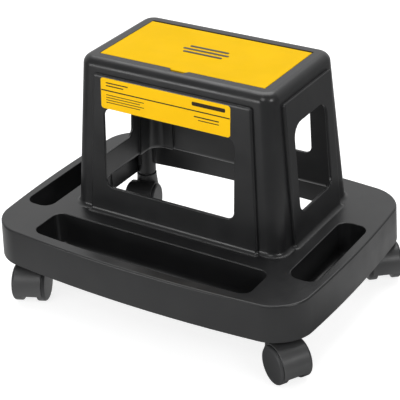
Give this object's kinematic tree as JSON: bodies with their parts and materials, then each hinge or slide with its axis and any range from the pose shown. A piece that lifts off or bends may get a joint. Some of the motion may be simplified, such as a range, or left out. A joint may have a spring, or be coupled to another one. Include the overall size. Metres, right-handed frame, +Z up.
{
  "type": "rolling work seat",
  "caption": "Low rolling work seat: windowed plastic pedestal with a hinged lid over a storage well, on a tray base with twin-wheel swivel casters.",
  "frame": {"origin": "on the floor, under the middle of the tray base", "axes": "+X along the long side of the base, to the right seen from the front; +Y to the back, where the lid's hinge is; +Z up"},
  "size_m": [0.4809, 0.3528, 0.3231],
  "materials": {
    "body_plastic": "injection-moulded polypropylene, satin, near black",
    "lid_plastic": "moulded yellow plastic, low gloss",
    "label_film": null,
    "caster_plastic": "moulded nylon, satin dark grey",
    "wheel_nylon": "moulded nylon wheel, satin dark grey",
    "steel": "zinc-plated steel"
  },
  "bodies": {
    "frame": {"tray_base": "body_plastic", "seat_pedestal": "body_plastic", "front_label": "label_film", "hinge_pin_left": "steel", "hinge_pin_right": "steel", "socket_fl": "caster_plastic", "socket_fr": "caster_plastic", "socket_bl": "caster_plastic", "socket_br": "caster_plastic"},
    "lid": {"lid": "lid_plastic"},
    "caster_fl": {"stem_fl": "steel", "grip_ring_fl": "steel", "collar_fl": "steel", "hood_fl": "caster_plastic", "axle_fl": "steel"},
    "wheel_left_fl": {"wheel_left_fl": "wheel_nylon"},
    "wheel_right_fl": {"wheel_right_fl": "wheel_nylon"},
    "caster_fr": {"stem_fr": "steel", "grip_ring_fr": "steel", "collar_fr": "steel", "hood_fr": "caster_plastic", "axle_fr": "steel"},
    "wheel_left_fr": {"wheel_left_fr": "wheel_nylon"},
    "wheel_right_fr": {"wheel_right_fr": "wheel_nylon"},
    "caster_bl": {"stem_bl": "steel", "grip_ring_bl": "steel", "collar_bl": "steel", "hood_bl": "caster_plastic", "axle_bl": "steel"},
    "wheel_left_bl": {"wheel_left_bl": "wheel_nylon"},
    "wheel_right_bl": {"wheel_right_bl": "wheel_nylon"},
    "caster_br": {"stem_br": "steel", "grip_ring_br": "steel", "collar_br": "steel", "hood_br": "caster_plastic", "axle_br": "steel"},
    "wheel_left_br": {"wheel_left_br": "wheel_nylon"},
    "wheel_right_br": {"wheel_right_br": "wheel_nylon"}
  },
  "joints": [
    {"name": "lid_hinge", "type": "hinge", "parent": "frame", "child": "lid", "pos_m": [0, 0.092, 0.3185], "axis": [-1, 0, 0], "range_deg": [0, 95]},
    {"name": "swivel_fl", "type": "hinge", "parent": "frame", "child": "caster_fl", "pos_m": [-0.185, -0.126, 0.08], "axis": [0, 0, 1], "continuous": true},
    {"name": "roll_left_fl", "type": "hinge", "parent": "caster_fl", "child": "wheel_left_fl", "pos_m": [-0.1764, -0.14625, 0.025], "axis": [0.9205, 0.3907, 0], "continuous": true},
    {"name": "roll_right_fl", "type": "hinge", "parent": "caster_fl", "child": "wheel_right_fl", "pos_m": [-0.1764, -0.14625, 0.025], "axis": [0.9205, 0.3907, 0], "continuous": true},
    {"name": "swivel_fr", "type": "hinge", "parent": "frame", "child": "caster_fr", "pos_m": [0.1915, -0.13, 0.08], "axis": [0, 0, 1], "continuous": true},
    {"name": "roll_left_fr", "type": "hinge", "parent": "caster_fr", "child": "wheel_left_fr", "pos_m": [0.21046, -0.14117, 0.025], "axis": [0.5075, 0.8616, 0], "continuous": true},
    {"name": "roll_right_fr", "type": "hinge", "parent": "caster_fr", "child": "wheel_right_fr", "pos_m": [0.21046, -0.14117, 0.025], "axis": [0.5075, 0.8616, 0], "continuous": true},
    {"name": "swivel_bl", "type": "hinge", "parent": "frame", "child": "caster_bl", "pos_m": [-0.178, 0.135, 0.08], "axis": [0, 0, 1], "continuous": true},
    {"name": "roll_left_bl", "type": "hinge", "parent": "caster_bl", "child": "wheel_left_bl", "pos_m": [-0.17231, 0.11375, 0.025], "axis": [0.9659, 0.2588, 0], "continuous": true},
    {"name": "roll_right_bl", "type": "hinge", "parent": "caster_bl", "child": "wheel_right_bl", "pos_m": [-0.17231, 0.11375, 0.025], "axis": [0.9659, 0.2588, 0], "continuous": true},
    {"name": "swivel_br", "type": "hinge", "parent": "frame", "child": "caster_br", "pos_m": [0.198, 0.139, 0.08], "axis": [0, 0, 1], "continuous": true},
    {"name": "roll_left_br", "type": "hinge", "parent": "caster_br", "child": "wheel_left_br", "pos_m": [0.21214, 0.12215, 0.025], "axis": [0.766, 0.6428, 0], "continuous": true},
    {"name": "roll_right_br", "type": "hinge", "parent": "caster_br", "child": "wheel_right_br", "pos_m": [0.21214, 0.12215, 0.025], "axis": [0.766, 0.6428, 0], "continuous": true}
  ]
}
